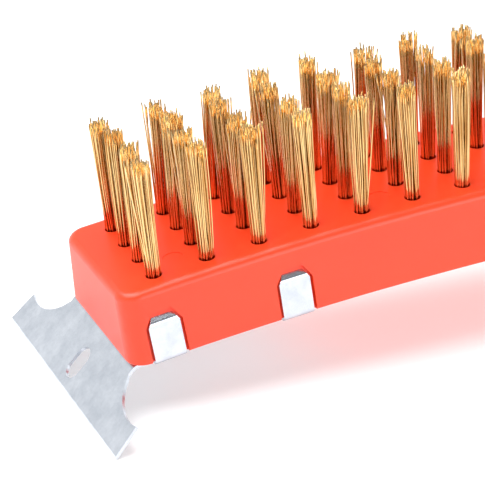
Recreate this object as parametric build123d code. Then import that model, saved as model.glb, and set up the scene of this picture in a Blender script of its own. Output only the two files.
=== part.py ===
from build123d import *
from math import asin, cos, degrees, pi, radians, sin, tan
import os

# Grill cleaning brush, lying on its back with the bristles up. Millimetres, +Z up.
# It is drawn with x = 0 at the crest of its arch, the scraper towards -X, the handle
# towards +X and the surface it lies on at z = 0, and is moved to its origin at the end.

# The arched head. Arc lengths along the bristle face count from the first tuft row.
FACE_RADIUS = 928.0
HEAD_THICKNESS = 20.0
CREST_FROM_ROW_1 = 139.8
CREST_FACE_Z = 46.8
DRAFT = 6.4
HEAD_HALF_WIDTH = 24.4  # across the back, which is the wider face
FRONT_X = -147.25  # front end, where its face, which leans forward, would meet z = 0
FRONT_CORNER_RADIUS = 5.5
FACE_EDGE_RADIUS = 2.0
BACK_EDGE_RADIUS = 0.7

# The handle, which carries on from the crest in a tighter arch down to the table.
HANDLE_BACK_RADIUS = 480.0
HANDLE_THICKNESS = 16.5
SHOULDER_START_X = 9.0
SHOULDER_END_X = 40.0
WAIST_HALF_WIDTH = 14.0
SWELL_HALF_WIDTH = 16.5
SWELL_X = 128.0
HANDLE_END_X = 165.2
END_SQUARENESS = 0.85  # 1 would make the rounded end an ellipse
HANDLE_EDGE_RADIUS = 5.5
BLEND_START_X = 46.0
BLEND_END_X = 72.0
HANG_HOLE_RADIUS = 4.0
HANG_HOLE_X = 150.0
HANG_HOLE_LIP = 1.2

# Tufts of brass wire, set in drilled holes in straight rows.
ROWS = 10
COLUMNS = 4
ROW_PITCH = 15.0
COLUMN_PITCH = 10.0
HOLE_RADIUS = 2.2
HOLE_DEPTH = 13.5
TUFT_LEAN = 4.0  # every hole is drilled square to the middle of the head
COLUMN_LEAN = 1.63  # inward, for each pitch that a column stands from the middle
TUFT_ROOT_RADIUS = 1.95
TUFT_TIP_RADIUS = 2.5
TUFT_HEIGHT = 33.5
FOLD_DEPTH = 0.9  # wire that passes under the anchor

# The staple that holds each folded tuft down, driven across the hole.
ANCHOR_LENGTH = 5.2
ANCHOR_THICKNESS = 0.5
ANCHOR_HEIGHT = 3.0

# The round marks that the ejector pins leave between the tufts.
PIN_MARK_RADIUS = 2.9
PIN_MARK_DEPTH = 0.15
PIN_MARK_GAPS = (0, 4, 8)

# The scraper, pressed from one sheet.
SHEET = 0.9
BLADE_SLOPE = 47.0
BEND_START = -10.6  # arc length where the sheet leaves the back and turns down
BEND_RADIUS = 3.0
BLADE_HALF_WIDTH = 41.0
HORN_LENGTH = 9.6
HORN_TAPER = 1.4
NECK_HALF_WIDTH = 22.0
NECK_START = 17.0
EDGE_BEVEL = 0.5
SLOT_LENGTH = 9.6
SLOT_WIDTH = 6.2
SLOT_FROM_EDGE = 7.8
SPINE_HALF_WIDTH = 16.0
SPINE_END = 44.0
TAB_PLACES = (-2.0, 35.5)
TAB_WIDTH = 8.8
TAB_TOP_WIDTH = 4.4
TAB_BEND_RADIUS = 1.1
TAB_HEIGHT = 13.2
TAB_CHAMFER_HEIGHT = 3.2
TAB_HOOK = 2.5  # the last stretch, clinched into the plastic
TAB_HOOK_ANGLE = 42.0
TAB_SET_DOWN = 0.06  # the straight arm of a tab lies this far under the arched spine
TAB_INSET = 0.55  # the tab's middle line, inside the body's side
POCKET_DEPTH = 1.35  # clear of the tab's bend and of its back
POCKET_GAP = 0.8

BACK_RADIUS = FACE_RADIUS - HEAD_THICKNESS
CREST_BACK_Z = CREST_FACE_Z - HEAD_THICKNESS
SIDE_SLOPE = tan(radians(DRAFT))
FAR = 200.0  # reaches past the whole brush


def turn_at(s):
    """Slope of the head's arch, in degrees, at an arc length from the first row."""
    return degrees((s - CREST_FROM_ROW_1) / FACE_RADIUS)


def head_point(s, depth=0.0):
    """Point (x, z) of the head at arc length s, a depth below the bristle face."""
    turn = radians(turn_at(s))
    radius = FACE_RADIUS - depth
    return radius * sin(turn), CREST_FACE_Z - FACE_RADIUS + radius * cos(turn)


def arch_z(x, radius, crest_z):
    """Height at x of an arch whose crest is at x = 0."""
    return crest_z - radius + (radius**2 - x**2) ** 0.5


def back_z(x):
    """Height of the brush's back at x."""
    return arch_z(x, BACK_RADIUS if x < 0 else HANDLE_BACK_RADIUS, CREST_BACK_Z)


def drafted_half_width(x, half_width, z):
    """Half width at height z of a drafted side that is half_width wide at the back."""
    return half_width + (back_z(x) - z) * SIDE_SLOPE


def plan_outline(z):
    """The brush's plan at height z: head, S-shaped shoulders, waisted handle, round end."""
    inset = z * SIDE_SLOPE
    front_x = FRONT_X - inset
    end_x = HANDLE_END_X - inset
    head_x = [front_x + (SHOULDER_START_X - front_x) * i / 5 for i in range(6)]
    side = [(x, HEAD_HALF_WIDTH) for x in head_x]
    for i in range(1, 5):
        x = SHOULDER_START_X + (SHOULDER_END_X - SHOULDER_START_X) * i / 4
        drop = (1 - cos(pi * i / 4)) / 2
        side.append((x, HEAD_HALF_WIDTH + (WAIST_HALF_WIDTH - HEAD_HALF_WIDTH) * drop))
    for i in range(1, 5):
        x = SHOULDER_END_X + (SWELL_X - SHOULDER_END_X) * i / 4
        rise = (1 - cos(pi * i / 4)) / 2
        side.append((x, WAIST_HALF_WIDTH + (SWELL_HALF_WIDTH - WAIST_HALF_WIDTH) * rise))
    points = [(x, drafted_half_width(x, half_width, z)) for x, half_width in side]
    swell = points[-1]
    for i in range(1, 6):
        turn = radians(90 * i / 6)
        x = swell[0] + (end_x - swell[0]) * sin(turn) ** END_SQUARENESS
        points.append((x, swell[1] * cos(turn) ** END_SQUARENESS))
    points.append((end_x, 0))
    lines = Curve() + Line((front_x, 0), points[0])
    lines += Spline(*points, tangents=((1, 0), (0, -1)))
    return make_face(Wire((lines + mirror(lines, Plane.XZ)).edges())).moved(Pos(0, 0, z))


def side_profile():
    """The brush seen from the side: two arched faces, and a step down to the handle."""
    top_radius = HANDLE_BACK_RADIUS + HEAD_THICKNESS
    grip_radius = HANDLE_BACK_RADIUS + HANDLE_THICKNESS
    grip_crest = CREST_BACK_Z + HANDLE_THICKNESS
    step_start = SHOULDER_START_X - 3, arch_z(SHOULDER_START_X - 3, top_radius, CREST_FACE_Z)
    step_end = SHOULDER_END_X + 3, arch_z(SHOULDER_END_X + 3, grip_radius, grip_crest)
    front_top = -FAR, arch_z(-FAR, FACE_RADIUS, CREST_FACE_Z)
    front_back = -FAR, back_z(-FAR)
    rear_top = FAR, arch_z(FAR, grip_radius, grip_crest)
    rear_back = FAR, back_z(FAR)

    def arch(start, end, radius, crest_z):
        middle = (start[0] + end[0]) / 2
        return ThreePointArc(start, (middle, arch_z(middle, radius, crest_z)), end)

    start_slope = asin(step_start[0] / top_radius)
    end_slope = asin(step_end[0] / grip_radius)
    lines = Curve() + arch(front_top, (0, CREST_FACE_Z), FACE_RADIUS, CREST_FACE_Z)
    lines += arch((0, CREST_FACE_Z), step_start, top_radius, CREST_FACE_Z)
    lines += Spline(
        step_start,
        step_end,
        tangents=((cos(start_slope), -sin(start_slope)), (cos(end_slope), -sin(end_slope))),
    )
    lines += arch(step_end, rear_top, grip_radius, grip_crest)
    lines += Line(rear_top, rear_back)
    lines += arch(rear_back, (0, CREST_BACK_Z), HANDLE_BACK_RADIUS, CREST_BACK_Z)
    lines += arch((0, CREST_BACK_Z), front_back, BACK_RADIUS, CREST_BACK_Z)
    lines += Line(front_back, front_top)
    return Plane.XZ * make_face(Wire(lines.edges()))


def slab_between(start_x, end_x):
    """A box across the whole brush from start_x to end_x."""
    return Pos((start_x + end_x) / 2, 0, 0) * Box(end_x - start_x, FAR, FAR)


def rim_edges(blank):
    """The edges round the bristle face and round the back, with no seam between arches."""

    def on_rim(edge):
        middle, direction = edge @ 0.5, edge % 0.5
        crosses = abs(middle.Y) < 1 and abs(direction.Y) > 0.9
        at_an_end = middle.X < FRONT_X + 10 or middle.X > HANDLE_END_X - 20
        return abs(direction.Z) < 0.5 and (at_an_end or not crosses)

    return [edge for edge in blank.edges() if on_rim(edge)]


def on_back(edge):
    """Whether an edge's middle lies on the arch of the back."""
    middle = edge @ 0.5
    return abs(middle.Z - back_z(middle.X)) < 0.2


def on_face(edge):
    """Whether an edge's middle lies nearer to the bristle face than to the back."""
    middle = edge @ 0.5
    return middle.Z > back_z(middle.X) + HANDLE_THICKNESS / 2


def cut_face(solid, x):
    """The flat face that a cut at x left on a solid."""
    return min(solid.faces(), key=lambda face: abs(face.center().X - x))


def body_blank():
    """The moulding before it is drilled: crisp edges on the head, soft ones on the handle."""
    prism = loft([plan_outline(-5), plan_outline(CREST_FACE_Z + 5)], ruled=True)
    corners = [edge for edge in prism.edges() if (edge @ 0.5).X < FRONT_X + 3]
    corners = [edge for edge in corners if abs((edge % 0.5).Z) > 0.9]
    prism = fillet(corners, FRONT_CORNER_RADIUS)
    slab = extrude(side_profile(), amount=FAR / 2, both=True)
    blank = prism & slab
    face_edges = [edge for edge in rim_edges(blank) if on_face(edge)]
    head = fillet(face_edges, FACE_EDGE_RADIUS)
    back_edges = [edge for edge in rim_edges(head) if on_back(edge)]
    head = fillet(back_edges, BACK_EDGE_RADIUS) & slab_between(-FAR, BLEND_START_X)
    grip = blank & slab_between(BLEND_END_X, FAR)
    grip = fillet(rim_edges(grip), HANDLE_EDGE_RADIUS)
    ends = [cut_face(head, BLEND_START_X), cut_face(grip, BLEND_END_X)]
    return head + loft(ends, ruled=True) + grip


def tuft_plane(row, column):
    """Plane of a tuft hole's mouth: its origin on the face and its Z up the tuft."""
    x, z = head_point(row * ROW_PITCH)
    place = column - (COLUMNS - 1) / 2
    lean = Rot(COLUMN_LEAN * place, 0, 0)
    return Plane(Location((x, place * COLUMN_PITCH, z)) * Rot(0, -TUFT_LEAN, 0) * lean)


def cylinder_below(plane, radius, depth):
    return extrude(plane * Circle(radius), amount=-depth)


def anchor_at(plane):
    """A flat staple on edge across the bottom of the hole, its ends in the plastic."""
    middle = -HOLE_DEPTH + FOLD_DEPTH + ANCHOR_HEIGHT / 2
    return plane * Pos(0, 0, middle) * Box(ANCHOR_THICKNESS, ANCHOR_LENGTH, ANCHOR_HEIGHT)


def tuft_at(plane, anchor):
    """The outer shape of one tuft: wires folded under the anchor, opening upwards."""
    outline = Polyline(
        (0, -HOLE_DEPTH),
        (TUFT_ROOT_RADIUS, -HOLE_DEPTH),
        (TUFT_ROOT_RADIUS, 0),
        (TUFT_TIP_RADIUS, TUFT_HEIGHT),
        (0, TUFT_HEIGHT),
        close=True,
    )
    tuft = revolve(Plane.XZ * make_face(outline), Axis.Z)
    return plane * tuft - anchor


def pin_marks():
    """Shallow discs in the face, midway between four tufts near each side."""
    marks = []
    for gap in PIN_MARK_GAPS:
        s = (gap + 0.5) * ROW_PITCH
        x, z = head_point(s)
        for side in (-1, 1):
            mouth = Plane(Location((x, side * COLUMN_PITCH, z)) * Rot(0, turn_at(s), 0))
            marks.append(cylinder_below(mouth, PIN_MARK_RADIUS, PIN_MARK_DEPTH))
    return marks


def hang_hole_plane():
    """Plane on the back at the hanging hole, with its Z square to the handle."""
    turn = asin(HANG_HOLE_X / HANDLE_BACK_RADIUS)
    return Plane(Location((HANG_HOLE_X, 0, back_z(HANG_HOLE_X))) * Rot(0, degrees(turn), 0))


def with_hang_hole(body):
    """The body with its hanging hole, whose two mouths are rounded."""
    mouth = hang_hole_plane()
    body -= extrude(mouth * Circle(HANG_HOLE_RADIUS), amount=2 * HANDLE_THICKNESS, both=True)

    def on_mouth(edge):
        across = mouth.to_local_coords(edge @ 0.5)
        return abs((across.X**2 + across.Y**2) ** 0.5 - HANG_HOLE_RADIUS) < 0.1

    rims = [edge for edge in body.edges() if on_mouth(edge) and abs((edge % 0.5).Z) < 0.7]
    return fillet(rims, HANG_HOLE_LIP)


def tab_plane(s, side):
    """Plane on the body's side at arc length s: X along the back's edge, Y up the side,
    Z outward."""
    x, z = head_point(s, HEAD_THICKNESS)
    slope = radians(DRAFT)
    along = Vector(1, 0, 0)
    up = Vector(0, -side * sin(slope), cos(slope))
    outward = Vector(0, side * cos(slope), sin(slope))
    turn = radians(turn_at(s))
    edge = along * cos(turn) - up * sin(turn)
    return Plane(origin=(x, side * HEAD_HALF_WIDTH, z), x_dir=edge * -side, z_dir=outward)


def tab_outline(gap):
    """A tab's outline on the body's side, straight up and then chamfered to its tip."""
    half, top = TAB_WIDTH / 2 + gap, TAB_TOP_WIDTH / 2 + gap / 2
    shoulder, tip = TAB_HEIGHT - TAB_CHAMFER_HEIGHT, TAB_HEIGHT + gap
    below = -6
    right = [(half, below), (half, shoulder), (top, tip)]
    left = [(-x, y) for x, y in reversed(right)]
    return make_face(Polyline(*right, *left, close=True))


def pocket_at(s, side):
    """The recess that a tab lies in, open at the back."""
    plane = tab_plane(s, side)
    return extrude(plane * tab_outline(POCKET_GAP), amount=POCKET_DEPTH, both=True)


def tab_at(s, side):
    """One tab: out from under the back, round the bend, up the pocket, hooked at the tip."""
    plane = tab_plane(s, side)
    slope = radians(DRAFT)

    def arm_level(out):
        """Height, up the side, of the arm's middle line that far out from the side."""
        return -out * tan(slope) - (SHEET / 2 + TAB_SET_DOWN) / cos(slope)

    # Points of the strip's middle line as (outward, up the side) in the tab's own plane.
    middle = -TAB_INSET
    inner = SPINE_HALF_WIDTH - 3 - HEAD_HALF_WIDTH
    start = (inner, arm_level(inner))
    corner = (middle, arm_level(middle))
    bend = (middle, TAB_HEIGHT - TAB_HOOK)
    hook = radians(TAB_HOOK_ANGLE)
    tip = (middle - TAB_HOOK * sin(hook), bend[1] + TAB_HOOK * cos(hook))
    points = [plane.from_local_coords((0, up, out)) for out, up in (start, corner, bend, tip)]
    path = FilletPolyline(*points, radius=TAB_BEND_RADIUS)
    strip_start = Plane(origin=path @ 0, x_dir=plane.x_dir, z_dir=path % 0)
    strip = sweep(strip_start * Rectangle(TAB_WIDTH, SHEET), path=path)
    keep = extrude(plane * tab_outline(0), amount=30, both=True)
    return strip & keep


def sheet_line():
    """Middle line of the sheet seen from the side, from the spine's end to the edge.
    Also returns the point where it turns straight, and the edge."""
    depth = HEAD_THICKNESS + SHEET / 2
    spine_end = head_point(SPINE_END, depth)
    spine_middle = head_point((SPINE_END + BEND_START) / 2, depth)
    bend_from = head_point(BEND_START, depth)
    leaving = radians(-turn_at(BEND_START))
    blade = radians(BLADE_SLOPE)
    bend_to = (
        bend_from[0] - BEND_RADIUS * (sin(blade) - sin(leaving)),
        bend_from[1] - BEND_RADIUS * (cos(leaving) - cos(blade)),
    )
    # The lower corner of the blade's square-cut edge is what rests on the table.
    edge_z = SHEET / 2 * cos(blade)
    edge = bend_to[0] - (bend_to[1] - edge_z) / tan(blade), edge_z
    line = Curve() + ThreePointArc(spine_end, spine_middle, bend_from)
    line += TangentArc(bend_from, bend_to, tangent=(-cos(leaving), -sin(leaving)))
    line += Line(bend_to, edge)
    return Plane.XZ * Wire(line.edges()), edge


def blade_plane(edge):
    """Plane on the blade with its origin at the middle of the edge, X up the blade."""
    slope = radians(BLADE_SLOPE)
    up_blade, out_of_blade = (cos(slope), 0, sin(slope)), (-sin(slope), 0, cos(slope))
    return Plane(origin=(edge[0], 0, edge[1]), x_dir=up_blade, z_dir=out_of_blade)


def horn_cutter(side):
    """What is cut away beside the neck, leaving a pointed horn at the blade's end."""
    outside = BLADE_HALF_WIDTH + 5
    horn_tip = HORN_LENGTH, BLADE_HALF_WIDTH - HORN_TAPER
    hollow = HORN_LENGTH + 0.6, BLADE_HALF_WIDTH - 12.2
    neck = NECK_START, NECK_HALF_WIDTH
    lines = Curve() + ThreePointArc(horn_tip, hollow, neck)
    edge_end = 0, BLADE_HALF_WIDTH
    lines += Polyline(neck, (30, neck[1]), (30, outside), (-1, outside), edge_end, horn_tip)
    face = make_face(Wire(lines.edges()))
    return face if side > 0 else mirror(face, Plane.XZ)


def spine_outline():
    """Plan of the sheet under the head: as wide as the neck to the first tabs, then narrow."""
    start = head_point(BEND_START - 12)[0]
    step = head_point(TAB_PLACES[0] + TAB_WIDTH / 2, HEAD_THICKNESS)[0]
    end = head_point(SPINE_END + 10)[0]
    wide, narrow = NECK_HALF_WIDTH, SPINE_HALF_WIDTH
    right = [(start, wide), (step, wide), (step, narrow), (end, narrow)]
    left = [(x, -y) for x, y in reversed(right)]
    return make_face(Polyline(*right, *left, close=True))


def scraper(tabs):
    """The whole pressing: spine under the head, bent blade with its slot, and its tabs."""
    line, edge = sheet_line()
    start = Plane(origin=line @ 0, x_dir=(0, 1, 0), z_dir=line % 0)
    sheet = sweep(start * Rectangle(2 * BLADE_HALF_WIDTH, SHEET), path=line)
    blade = blade_plane(edge)
    for side in (-1, 1):
        sheet -= extrude(blade * horn_cutter(side), amount=5, both=True)
    slot = Pos(SLOT_FROM_EDGE, 0) * SlotOverall(SLOT_LENGTH, SLOT_WIDTH)
    sheet -= extrude(blade * slot, amount=5, both=True)
    bend_x = head_point(BEND_START, HEAD_THICKNESS)[0]
    under = extrude(spine_outline(), amount=FAR / 4) & sheet & slab_between(bend_x - 3, FAR)
    sheet = under + (sheet & slab_between(-FAR, bend_x - 3))
    upper_edge = Vector(edge[0], 0, edge[1]) + blade.z_dir * SHEET / 2
    front = min(sheet.edges().filter_by(Axis.Y), key=lambda line: (line @ 0.5 - upper_edge).length)
    return chamfer(front, EDGE_BEVEL) + tabs


def build():
    """Every piece by node name, all in place."""
    body = with_hang_hole(body_blank())
    pieces = {}
    holes = []
    for row in range(ROWS):
        anchors = []
        for column in range(COLUMNS):
            plane = tuft_plane(row, column)
            anchor = anchor_at(plane)
            name = f"tuft_r{row + 1:02d}_{'abcd'[column]}"
            pieces[name] = tuft_at(plane, anchor)
            anchors.append(anchor)
            holes.append(cylinder_below(plane, HOLE_RADIUS, HOLE_DEPTH))
            holes.append(cylinder_below(plane, HOLE_RADIUS, -1))
        pieces[f"anchors_r{row + 1:02d}"] = Compound([anchor.solid() for anchor in anchors])
        holes += anchors
    tabs = [tab_at(s, side) for s in TAB_PLACES for side in (-1, 1)]
    pockets = [pocket_at(s, side) for s in TAB_PLACES for side in (-1, 1)]
    pieces["brush_body"] = body - pockets - tabs - holes - pin_marks()
    pieces["scraper"] = scraper(tabs)
    return pieces


pieces = build()
boxes = [piece.bounding_box() for piece in pieces.values()]
middle_x = (min(box.min.X for box in boxes) + max(box.max.X for box in boxes)) / 2
to_origin = Pos(-middle_x, 0, -min(box.min.Z for box in boxes))
os.makedirs("parts", exist_ok=True)
for name, piece in pieces.items():
    export_step(to_origin * piece, f"parts/{name}.step")
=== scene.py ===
import math
import random

import bpy
from mathutils import Matrix, Vector


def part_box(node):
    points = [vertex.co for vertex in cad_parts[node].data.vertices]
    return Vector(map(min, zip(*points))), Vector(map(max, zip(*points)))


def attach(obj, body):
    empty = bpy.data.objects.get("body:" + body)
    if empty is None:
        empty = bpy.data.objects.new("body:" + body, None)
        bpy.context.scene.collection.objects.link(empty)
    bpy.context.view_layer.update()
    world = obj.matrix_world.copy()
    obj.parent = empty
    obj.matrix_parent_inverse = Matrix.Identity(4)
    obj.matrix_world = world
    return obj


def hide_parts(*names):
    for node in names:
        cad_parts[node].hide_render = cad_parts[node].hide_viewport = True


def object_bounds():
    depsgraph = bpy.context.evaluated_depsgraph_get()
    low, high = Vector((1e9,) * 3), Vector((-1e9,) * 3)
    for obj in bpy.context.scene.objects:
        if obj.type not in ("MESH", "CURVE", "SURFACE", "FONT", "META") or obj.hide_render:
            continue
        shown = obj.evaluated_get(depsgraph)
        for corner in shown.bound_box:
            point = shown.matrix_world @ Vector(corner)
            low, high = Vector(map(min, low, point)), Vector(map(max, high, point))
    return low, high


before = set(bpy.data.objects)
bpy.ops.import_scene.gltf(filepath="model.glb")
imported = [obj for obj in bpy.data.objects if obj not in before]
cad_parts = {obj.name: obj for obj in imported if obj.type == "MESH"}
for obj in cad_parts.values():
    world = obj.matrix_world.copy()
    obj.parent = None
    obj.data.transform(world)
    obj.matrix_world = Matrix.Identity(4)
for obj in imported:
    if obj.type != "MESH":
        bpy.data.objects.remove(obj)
cad_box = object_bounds()

# ---- The brush body -------------------------------------------------------------------
# One piece of injection-moulded polypropylene: the arched head and the handle. Its skin
# is satin, very slightly pebbled by the mould, and a little uneven in gloss.

ORANGE_RED = (0.94, 0.056, 0.012)
ORANGE_RED_DEEP = (0.89, 0.046, 0.010)


def new_material(name):
    """A material with nothing but its shader and output. Returns it, its nodes and links."""
    material = bpy.data.materials.new(name)
    material.use_nodes = True
    return material, material.node_tree.nodes, material.node_tree.links


def noise_on_piece(nodes, links, scale, detail, roughness=0.5, stretch=(1, 1, 1)):
    """A noise that is fixed to the piece, with scale counted per metre."""
    place = nodes.new("ShaderNodeTexCoord")
    stretched = nodes.new("ShaderNodeMapping")
    stretched.inputs["Scale"].default_value = stretch
    noise = nodes.new("ShaderNodeTexNoise")
    noise.inputs["Scale"].default_value = scale
    noise.inputs["Detail"].default_value = detail
    noise.inputs["Roughness"].default_value = roughness
    links.new(place.outputs["Object"], stretched.inputs["Vector"])
    links.new(stretched.outputs["Vector"], noise.inputs["Vector"])
    return noise.outputs["Fac"]


def spread(nodes, links, value, low, high, from_low=0.3, from_high=0.7):
    """The value, with its range from_low to from_high brought to low to high."""
    ranged = nodes.new("ShaderNodeMapRange")
    ranged.inputs["From Min"].default_value = from_low
    ranged.inputs["From Max"].default_value = from_high
    ranged.inputs["To Min"].default_value = low
    ranged.inputs["To Max"].default_value = high
    links.new(value, ranged.inputs["Value"])
    return ranged.outputs["Result"]


def between(nodes, links, value, first, second):
    """A colour between two, by a value from 0 to 1."""
    mix = nodes.new("ShaderNodeMix")
    mix.data_type = "RGBA"
    mix.inputs["A"].default_value = (*first, 1)
    mix.inputs["B"].default_value = (*second, 1)
    links.new(value, mix.inputs["Factor"])
    return mix.outputs["Result"]


def raised(nodes, links, height, distance, strength=1.0):
    """A normal from a height of 0 to 1, which stands for that distance in metres."""
    bump = nodes.new("ShaderNodeBump")
    bump.inputs["Distance"].default_value = distance
    bump.inputs["Strength"].default_value = strength
    links.new(height, bump.inputs["Height"])
    return bump.outputs["Normal"]


def moulded_plastic():
    """Satin orange-red plastic with a fine mould grain and slow patches of gloss."""
    material, nodes, links = new_material("moulded_plastic")
    shader = nodes["Principled BSDF"]
    patches = noise_on_piece(nodes, links, 18, 3)
    grain = noise_on_piece(nodes, links, 1600, 2)
    links.new(
        between(nodes, links, spread(nodes, links, patches, 0, 1), ORANGE_RED, ORANGE_RED_DEEP),
        shader.inputs["Base Color"],
    )
    links.new(spread(nodes, links, patches, 0.30, 0.38), shader.inputs["Roughness"])
    links.new(raised(nodes, links, grain, 0.00002, 0.35), shader.inputs["Normal"])
    shader.inputs["IOR"].default_value = 1.5
    shader.inputs["Subsurface Weight"].default_value = 0.15
    shader.inputs["Subsurface Radius"].default_value = (1.0, 0.25, 0.12)
    shader.inputs["Subsurface Scale"].default_value = 0.003
    return material


def finish_cad(names, material):
    """Gives CAD nodes, whose shape stays as it is, their finish."""
    for name in names:
        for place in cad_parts[name].material_slots:
            place.material = material


finish_cad(["brush_body"], moulded_plastic())

# ---- The anchors ----------------------------------------------------------------------
# Flat steel wire cut to length and driven edge-down across each drilled hole, deep in the
# plastic, where it holds the fold of its tuft. Drawn steel, dull, with fine scratches.

ANCHOR_GREY = (0.50, 0.50, 0.49)
ANCHOR_DARK = (0.36, 0.36, 0.37)
COLUMNS = "abcd"
ROWS = sorted(name[len("anchors_r"):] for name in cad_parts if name.startswith("anchors_r"))


def drawn_steel():
    """Plain steel wire, streaked along its length by the die."""
    material, nodes, links = new_material("drawn_steel")
    shader = nodes["Principled BSDF"]
    streaks = noise_on_piece(nodes, links, 900, 3, stretch=(1, 0.1, 1))
    links.new(
        between(nodes, links, spread(nodes, links, streaks, 0, 1), ANCHOR_GREY, ANCHOR_DARK),
        shader.inputs["Base Color"],
    )
    links.new(spread(nodes, links, streaks, 0.3, 0.5), shader.inputs["Roughness"])
    shader.inputs["Metallic"].default_value = 1.0
    return material


finish_cad([f"anchors_r{row}" for row in ROWS], drawn_steel())

# ---- The tufts ------------------------------------------------------------------------
# Forty tufts of hard-drawn brass wire. Each is a bundle of wires laid over its anchor and
# driven down, so that every wire is folded in two and shows both of its ends. The ends
# were trimmed across after filling, and have sprung apart a little.

WIRE_RADIUS = 0.000195
WIRES_IN_TUFT = 31
WIRE_SIDES = 6
SOLID_HEIGHT = 0.0335  # how far the CAD tuft stands out of its hole
END_BAND = 0.0003  # points this near a CAD tuft's end belong to it
AXIS_ROUNDS = 4  # each round finds the two ends by a better axis
TRIM_HEIGHT = 0.0319
TRIM_SPREAD = 0.0011
TALLEST = 0.0332
TUFT_SWAY = 0.02  # how far a tuft stands off its hole's line, as a slope
ROOT_RADIUS = 0.00172  # of the middle lines of the outermost wires
TIP_RADIUS = 0.00218
HALVES_GAP = 0.00016  # what the anchor leaves between the two halves, each side
FOLD_FLOOR = -0.0133  # the lowest that a wire's middle line goes, down the hole
FOLD_TOP = -0.0122
FOLD_SCATTER = 0.0004  # how much the folds differ in depth
FOLD_STEPS = 4
LEG_STEPS = 7
GOLDEN_TURN = math.pi * (3 - math.sqrt(5))  # spaces the wires evenly over the bundle
FOOT_SHIFT = 0.00005  # how loosely the wires stand in the hole
TIP_SHIFT = 0.00032
BOW = 0.00014  # how far a wire's middle stands off its straight line
STRAY_SHARE = 0.12
STRAY_TIP_SHIFT = 0.0011
STRAY_RISE = 0.001  # a stray end was missed by the trimming
TONE_BY_WIRE = 0.65  # the rest of a wire's tone is its tarnish
TONE_BY_TARNISH = 0.35
BRASS_PALE = (0.94, 0.72, 0.36)
BRASS_RICH = (0.54, 0.26, 0.065)


def drawn_brass():
    """Bright drawn brass. Every wire has its own tone, and tarnishes in slow patches."""
    material, nodes, links = new_material("drawn_brass")
    shader = nodes["Principled BSDF"]
    wire = nodes.new("ShaderNodeNewGeometry").outputs["Random Per Island"]
    tarnish = noise_on_piece(nodes, links, 260, 3, stretch=(1, 1, 0.3))
    tone = nodes.new("ShaderNodeMath")
    tone.operation = "MULTIPLY_ADD"
    tone.inputs[1].default_value = TONE_BY_WIRE
    links.new(wire, tone.inputs[0])
    links.new(spread(nodes, links, tarnish, 0, TONE_BY_TARNISH), tone.inputs[2])
    links.new(
        between(nodes, links, tone.outputs["Value"], BRASS_PALE, BRASS_RICH),
        shader.inputs["Base Color"],
    )
    links.new(spread(nodes, links, wire, 0.08, 0.20, 0, 1), shader.inputs["Roughness"])
    shader.inputs["Metallic"].default_value = 1.0
    return material


def tuft_frame(name):
    """The matrix of a tuft: its origin at the hole's mouth, its Z up the tuft's own axis,
    its Y along the anchor. Read from the two flat ends of the CAD tuft."""
    points = [vertex.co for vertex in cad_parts[name].data.vertices]
    axis = Vector((0, 0, 1))
    for _ in range(AXIS_ROUNDS):
        along = [point.dot(axis) for point in points]
        foot = [point for point, height in zip(points, along) if height < min(along) + END_BAND]
        rim = [point for point, height in zip(points, along) if height > max(along) - END_BAND]
        top = sum(rim, Vector()) / len(rim)
        axis = (top - sum(foot, Vector()) / len(foot)).normalized()
    across = Vector((0, 1, 0)).cross(axis).normalized()
    turned = Matrix((across, axis.cross(across), axis)).transposed().to_4x4()
    return Matrix.Translation(top - axis * SOLID_HEIGHT) @ turned


def loose(chance, size):
    """A small random shift across the tuft."""
    return Vector((chance.gauss(0, size), chance.gauss(0, size), 0))


def wire_line(chance, number, sway):
    """The middle line of one folded wire, in its tuft's frame: down, round the fold, up."""
    share = math.sqrt((number + 0.5) / WIRES_IN_TUFT)
    turn = number * GOLDEN_TURN
    root = Vector((abs(math.cos(turn)), math.sin(turn), 0)) * share * ROOT_RADIUS
    legs = []
    for side in (-1, 1):
        foot = Vector((side * (root.x + HALVES_GAP), root.y, 0)) + loose(chance, FOOT_SHIFT)
        stray = chance.random() < STRAY_SHARE
        tip = foot * (TIP_RADIUS / ROOT_RADIUS)
        tip += loose(chance, STRAY_TIP_SHIFT if stray else TIP_SHIFT)
        height = TRIM_HEIGHT + chance.gauss(0, TRIM_SPREAD) + (STRAY_RISE if stray else 0)
        height = min(height, TALLEST)
        bow = loose(chance, BOW) * 4  # because rise * (1 - rise) is a quarter half-way up
        leg = [Vector((foot.x, foot.y, FOLD_TOP))]
        for step in range(LEG_STEPS + 1):
            rise = step / LEG_STEPS
            point = foot.lerp(tip, rise) + bow * rise * (1 - rise) + sway * rise * height
            leg.append(Vector((point.x, point.y, rise * height)))
        legs.append(leg)
    left, right = legs
    bottom = FOLD_FLOOR + chance.uniform(0, FOLD_SCATTER)
    fold = []
    for step in range(1, FOLD_STEPS):
        turn = math.pi * step / FOLD_STEPS
        point = left[0].lerp(right[0], (1 - math.cos(turn)) / 2)
        point.z = FOLD_TOP + (bottom - FOLD_TOP) * math.sin(turn)
        fold.append(point)
    return left[::-1] + fold + right


def add_wire(line, points, faces):
    """Adds one round wire with cut-off ends to a mesh's lists."""
    start = len(points)
    last = len(line) - 1
    side = Vector((0, 1, 0))
    for i, middle in enumerate(line):
        along = (line[min(i + 1, last)] - line[max(i - 1, 0)]).normalized()
        out = side - along * side.dot(along)
        out.normalize()
        other = along.cross(out)
        for k in range(WIRE_SIDES):
            turn = 2 * math.pi * k / WIRE_SIDES
            points.append(middle + (out * math.cos(turn) + other * math.sin(turn)) * WIRE_RADIUS)
    for i in range(last):
        for k in range(WIRE_SIDES):
            a = start + i * WIRE_SIDES + k
            b = start + i * WIRE_SIDES + (k + 1) % WIRE_SIDES
            faces.append((a, b, b + WIRE_SIDES, a + WIRE_SIDES))
    end = start + last * WIRE_SIDES
    faces.append(tuple(start + k for k in reversed(range(WIRE_SIDES))))
    faces.append(tuple(end + k for k in range(WIRE_SIDES)))


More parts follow.
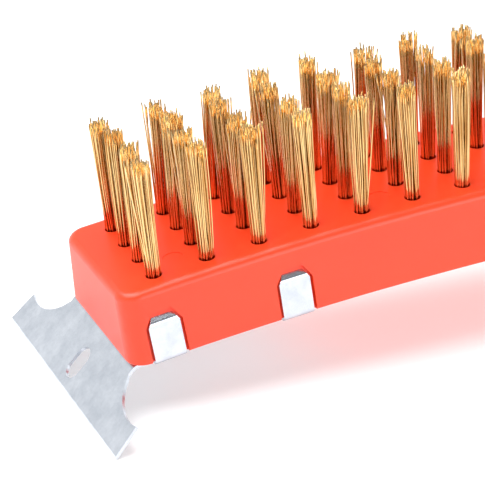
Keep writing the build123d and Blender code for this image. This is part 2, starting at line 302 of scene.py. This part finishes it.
def tuft_of_wires(name, seed, brass):
    """One tuft's folded wires as a piece that stands for the CAD tuft."""
    chance = random.Random(seed)
    sway = loose(chance, TUFT_SWAY)
    points, faces = [], []
    for number in range(WIRES_IN_TUFT):
        add_wire(wire_line(chance, number, sway), points, faces)
    mesh = bpy.data.meshes.new(f"wires_of_{name}")
    mesh.from_pydata(points, [], faces)
    mesh.transform(tuft_frame(name))
    mesh.polygons.foreach_set("use_smooth", [len(face) == 4 for face in faces])
    mesh.materials.append(brass)
    tuft = bpy.data.objects.new(f"wires_{name}", mesh)
    bpy.context.collection.objects.link(tuft)
    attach(tuft, "root")
    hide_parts(name)


brass = drawn_brass()
for row in ROWS:
    for column in COLUMNS:
        tuft_of_wires(f"tuft_r{row}_{column}", f"{row}{column}", brass)

# ---- The scraper ----------------------------------------------------------------------
# One pressing of thin sheet steel, zinc plated: the spine under the head, the bent blade
# with its slot and horns, and four tabs that are bent up the head's sides and clinched.

ZINC_BRIGHT = (0.66, 0.70, 0.76)
ZINC_DULL = (0.49, 0.53, 0.59)


def zinc_plate():
    """Bright zinc on rolled sheet, with faint mottling and the roll's fine streaks."""
    material, nodes, links = new_material("zinc_plate")
    shader = nodes["Principled BSDF"]
    mottle = noise_on_piece(nodes, links, 170, 5, 0.65)
    streaks = noise_on_piece(nodes, links, 800, 2, stretch=(1, 0.06, 1))
    links.new(
        between(nodes, links, spread(nodes, links, mottle, 0, 1), ZINC_BRIGHT, ZINC_DULL),
        shader.inputs["Base Color"],
    )
    links.new(spread(nodes, links, mottle, 0.13, 0.27), shader.inputs["Roughness"])
    links.new(raised(nodes, links, streaks, 0.00003, 0.4), shader.inputs["Normal"])
    shader.inputs["Metallic"].default_value = 1.0
    return material


finish_cad(["scraper"], zinc_plate())

# ---- The floor, the light and the camera ----------------------------------------------
# A plain white light table in a tent of soft light, with one large lamp overhead, a little
# to the left and behind, and a small weak one low down in front.

FLOOR_SIZE = 8.0
FLOOR_WHITE = (0.70, 0.70, 0.70)
FLOOR_DULL = (0.68, 0.68, 0.69)
FLOOR_GLOW = 0.36  # the table's own light, which keeps shadows pale
KEY_PLACE = (-0.5, 0.2, 1.5)
KEY_SIZE = 1.6
KEY_POWER = 44
FILL_PLACE = (0.5, -1.7, 0.5)
FILL_SIZE = 0.9
FILL_POWER = 8
TENT_HORIZON = 1.65
TENT_TOP = 0.3
TENT_RISE = 0.6  # the height, on a ball of radius 1, from which the tent is at its dimmest
VIEW_FROM_ROW_1 = Vector((-0.2057, -0.5486, 0.2914))
VIEW_SLOPE = 26.28
VIEW_TURN = -23.38
LENS_MM = 184.25
SENSOR_MM = 36.0
ANCHOR_MIDDLE_DEPTH = 0.0111  # under the bristle face


def studio_floor():
    """The light table that the brush lies on."""
    material, nodes, links = new_material("studio_floor")
    shader = nodes["Principled BSDF"]
    unevenness = noise_on_piece(nodes, links, 3, 2)
    links.new(
        between(nodes, links, unevenness, FLOOR_WHITE, FLOOR_DULL),
        shader.inputs["Base Color"],
    )
    shader.inputs["Roughness"].default_value = 0.7
    shader.inputs["Emission Color"].default_value = (1, 1, 1, 1)
    shader.inputs["Emission Strength"].default_value = FLOOR_GLOW
    half = FLOOR_SIZE / 2
    corners = [(-half, -half, 0), (half, -half, 0), (half, half, 0), (-half, half, 0)]
    mesh = bpy.data.meshes.new("floor")
    mesh.from_pydata(corners, [], [(0, 1, 2, 3)])
    mesh.materials.append(material)
    floor = bpy.data.objects.new("floor", mesh)
    floor.location.z = cad_box[0][2] - 0.0001
    bpy.context.collection.objects.link(floor)
    return floor


def soft_lamp(name, place, size, power):
    """A square softbox at a place, turned towards the middle of the floor."""
    lamp = bpy.data.lights.new(name, "AREA")
    lamp.shape = "SQUARE"
    lamp.size = size
    lamp.energy = power
    holder = bpy.data.objects.new(name, lamp)
    holder.location = place
    holder.rotation_euler = (-Vector(place)).to_track_quat("-Z", "Y").to_euler()
    bpy.context.collection.objects.link(holder)


def tent(horizon, top):
    """A white tent all round, bright low down and dimmer overhead."""
    world = bpy.data.worlds.new("tent")
    world.use_nodes = True
    nodes, links = world.node_tree.nodes, world.node_tree.links
    way = nodes.new("ShaderNodeTexCoord")
    parts = nodes.new("ShaderNodeSeparateXYZ")
    links.new(way.outputs["Generated"], parts.inputs["Vector"])
    links.new(
        spread(nodes, links, parts.outputs["Z"], horizon, top, 0.0, TENT_RISE),
        nodes["Background"].inputs["Strength"],
    )
    nodes["Background"].inputs["Color"].default_value = (1, 1, 1, 1)
    return world


studio_floor()
soft_lamp("key", KEY_PLACE, KEY_SIZE, KEY_POWER)
soft_lamp("fill", FILL_PLACE, FILL_SIZE, FILL_POWER)
bpy.context.scene.world = tent(TENT_HORIZON, TENT_TOP)
bpy.context.scene.view_settings.view_transform = "Standard"

low, high = (Vector(corner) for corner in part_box("anchors_r01"))
tuft_up = (tuft_frame("tuft_r01_b").col[2] + tuft_frame("tuft_r01_c").col[2]).to_3d().normalized()
row_1 = (low + high) / 2 + tuft_up * ANCHOR_MIDDLE_DEPTH
lens = bpy.data.cameras.new("camera")
lens.lens = LENS_MM
lens.sensor_width = SENSOR_MM
lens.clip_start = 0.01
camera = bpy.data.objects.new("camera", lens)
camera.location = row_1 + VIEW_FROM_ROW_1
camera.rotation_euler = (math.radians(90 - VIEW_SLOPE), 0, math.radians(VIEW_TURN))
bpy.context.collection.objects.link(camera)
bpy.context.scene.camera = camera
